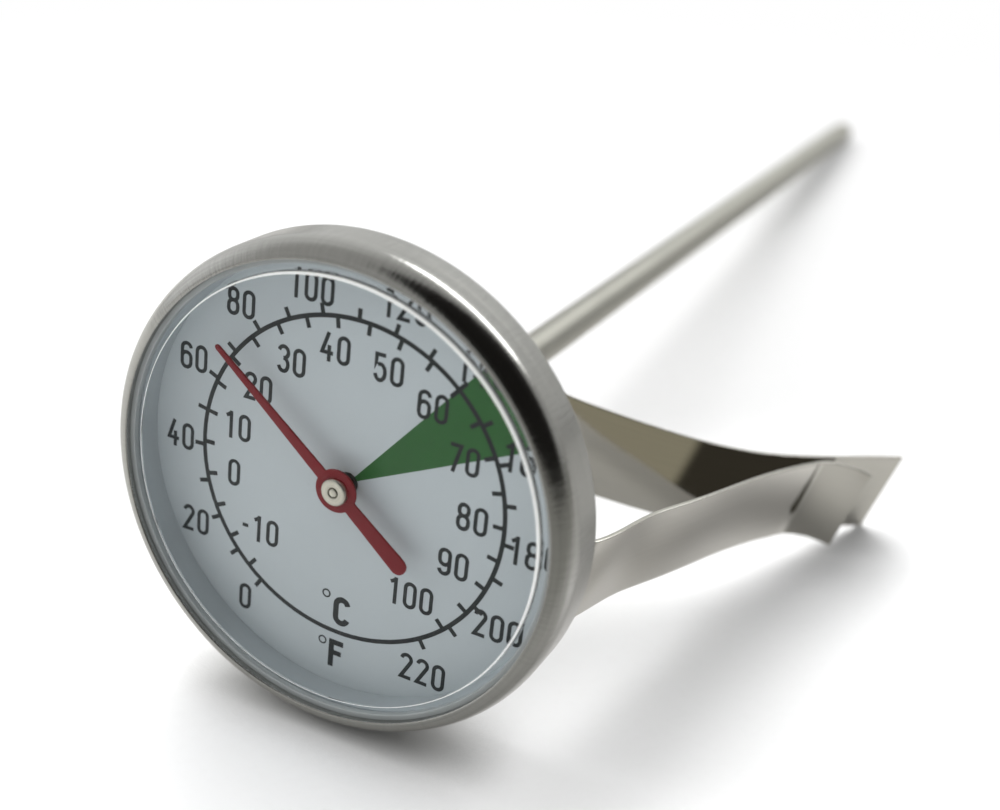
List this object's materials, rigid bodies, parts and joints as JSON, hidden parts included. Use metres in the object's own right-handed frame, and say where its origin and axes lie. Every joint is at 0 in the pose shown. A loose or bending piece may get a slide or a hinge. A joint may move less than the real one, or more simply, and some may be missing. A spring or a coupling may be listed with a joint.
{
  "type": "dial thermometer",
  "caption": "Bimetal dial thermometer with a round steel case, clear window, red pointer over a printed temperature scale, long probe stem and a folded spring clip that slides on the stem.",
  "frame": {"origin": "on the stem axis, at the tip end of the stem's straight wall, where its domed tip starts", "axes": "+Y along the stem towards its tip, so the dial faces -Y; +Z is dial up (middle of the scale), +X is dial right seen from the front"},
  "size_m": [0.0613, 0.1866, 0.045],
  "materials": {
    "case_steel": "satin brushed stainless steel",
    "bezel_steel": "satin brushed stainless steel, circular grain",
    "window": "clear moulded window",
    "gasket": "light grey rubber",
    "spacer": "pale grey plastic ring",
    "dial_white": "matt white printed aluminium",
    "stem_steel": "drawn stainless tube",
    "bush_black": "black plastic",
    "bush_brass": "turned brass",
    "bimetal": "bimetal strip, coppery steel",
    "shaft_steel": "ground steel wire",
    "pointer_red": "dark red paint",
    "cap_metal": "pale turned metal",
    "clip_steel": "cold rolled spring steel, satin"
  },
  "bodies": {
    "case": {"case_cup": "case_steel", "bezel_ring": "bezel_steel", "lens": "window", "lens_gasket": "gasket", "spacer_ring": "spacer", "dial_plate": "dial_white", "stem_ferrule": "stem_steel", "stem_tube": "stem_steel", "stem_tip_plug": "stem_steel", "shaft_bush_top": "bush_black", "shaft_bush_mid": "bush_brass", "bimetal_coil": "bimetal", "coil_anchor": "stem_steel"},
    "movement": {"pointer_shaft": "shaft_steel", "coil_collar": "bush_brass", "pointer": "pointer_red", "pointer_hub": "bush_brass", "hub_cap": "cap_metal"},
    "clip": {"clip_body": "clip_steel"},
    "clip_jaw": {"clip_outer_jaw": "clip_steel"}
  },
  "joints": [
    {"name": "pointer_turn", "type": "hinge", "parent": "case", "child": "movement", "pos_m": [0, -0.1801, 0], "axis": [0, 1, 0], "range_deg": [-96, 200]},
    {"name": "clip_slide", "type": "slide", "parent": "case", "child": "clip", "axis": [0, 1, 0], "range_m": [0, 0.14]},
    {"name": "jaw_flex", "type": "hinge", "parent": "clip", "child": "clip_jaw", "pos_m": [0.0182, -0.17595, -0.00546], "axis": [-0.2874, 0, -0.9578], "range_deg": [0, 12]}
  ]
}
